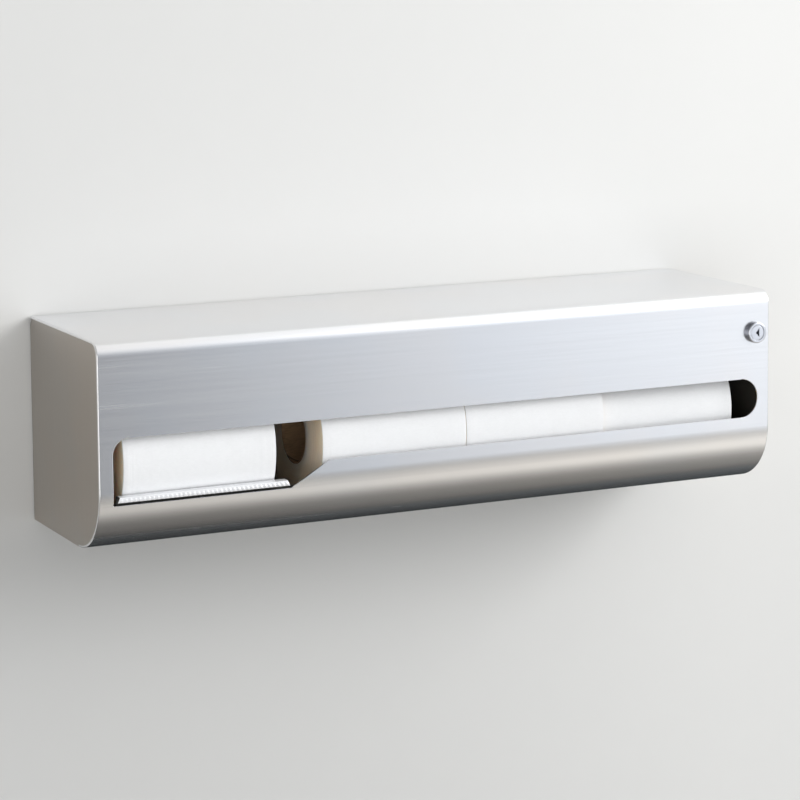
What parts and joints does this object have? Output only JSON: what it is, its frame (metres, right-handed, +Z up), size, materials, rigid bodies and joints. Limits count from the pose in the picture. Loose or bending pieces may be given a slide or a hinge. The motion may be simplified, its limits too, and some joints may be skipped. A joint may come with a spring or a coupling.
{
  "type": "toilet roll holder",
  "caption": "Long wall-hung stainless toilet roll holder: rolls in a row behind a drop-down cover with a window, cutter strip and cam lock.",
  "frame": {"origin": "middle of the back plate's rear face, on the wall", "axes": "+X along the holder to its right end, +Y into the wall, +Z up"},
  "size_m": [0.54, 0.149, 0.15],
  "materials": {
    "cover_steel": "hairline brushed along the length",
    "panel_steel": "hairline brushed, satin",
    "lock_chrome": "polished",
    "plain_steel": "zinc plated, dull",
    "dark_paint": "matt dark powder coat",
    "cutter_steel": "bright, ridged",
    "bumper_rubber": "matt",
    "roll_paper": "soft, slightly creped",
    "core_card": "bare board"
  },
  "bodies": {
    "base": {"wall_chassis": "dark_paint", "left_end_bracket": "dark_paint", "right_end_bracket": "dark_paint", "roll_tray": "dark_paint", "cutter_strip": "cutter_steel", "lock_strike": "plain_steel", "left_hinge_fixed_leaf": "plain_steel", "right_hinge_fixed_leaf": "plain_steel", "left_hinge_pin": "plain_steel", "right_hinge_pin": "plain_steel", "left_bumper": "bumper_rubber", "right_bumper": "bumper_rubber", "tray_screw_1": "plain_steel", "tray_screw_2": "plain_steel", "tray_screw_3": "plain_steel", "tray_screw_4": "plain_steel", "bracket_rivet_1": "plain_steel", "bracket_rivet_2": "plain_steel", "bracket_rivet_3": "plain_steel", "bracket_rivet_4": "plain_steel", "cutter_screw_1": "plain_steel", "cutter_screw_2": "plain_steel", "cutter_screw_3": "plain_steel", "hinge_screw_1": "plain_steel", "hinge_screw_2": "plain_steel", "hinge_screw_3": "plain_steel", "hinge_screw_4": "plain_steel", "strike_rivet_1": "plain_steel", "strike_rivet_2": "plain_steel"},
    "cover": {"front_cover": "cover_steel", "left_side_panel": "panel_steel", "right_side_panel": "panel_steel", "left_hinge_moving_leaf": "plain_steel", "right_hinge_moving_leaf": "plain_steel", "lock_barrel": "lock_chrome", "lock_nut": "plain_steel"},
    "lock": {"lock_plug": "lock_chrome", "lock_cam": "plain_steel", "cam_screw": "plain_steel"},
    "working_roll": {"roll_1_paper": "roll_paper", "roll_1_core": "core_card"},
    "spare_rolls": {"roll_2_paper": "roll_paper", "roll_2_core": "core_card", "roll_3_paper": "roll_paper", "roll_3_core": "core_card", "roll_4_paper": "roll_paper", "roll_4_core": "core_card"}
  },
  "joints": [
    {"name": "cover_open", "type": "hinge", "parent": "base", "child": "cover", "pos_m": [0, -0.095, -0.0706], "axis": [1, 0, 0], "range_deg": [0, 95]},
    {"name": "lock_turn", "type": "hinge", "parent": "cover", "child": "lock", "pos_m": [0.2575, -0.145, 0.0435], "axis": [0, 1, 0], "range_deg": [0, 90]},
    {"name": "roll_spin", "type": "hinge", "parent": "base", "child": "working_roll", "pos_m": [-0.1935, -0.087, -0.012], "axis": [1, 0, 0], "continuous": true},
    {"name": "spare_slide", "type": "slide", "parent": "base", "child": "spare_rolls", "axis": [1, 0, 0], "range_m": [-0.0355, 0.02]}
  ]
}
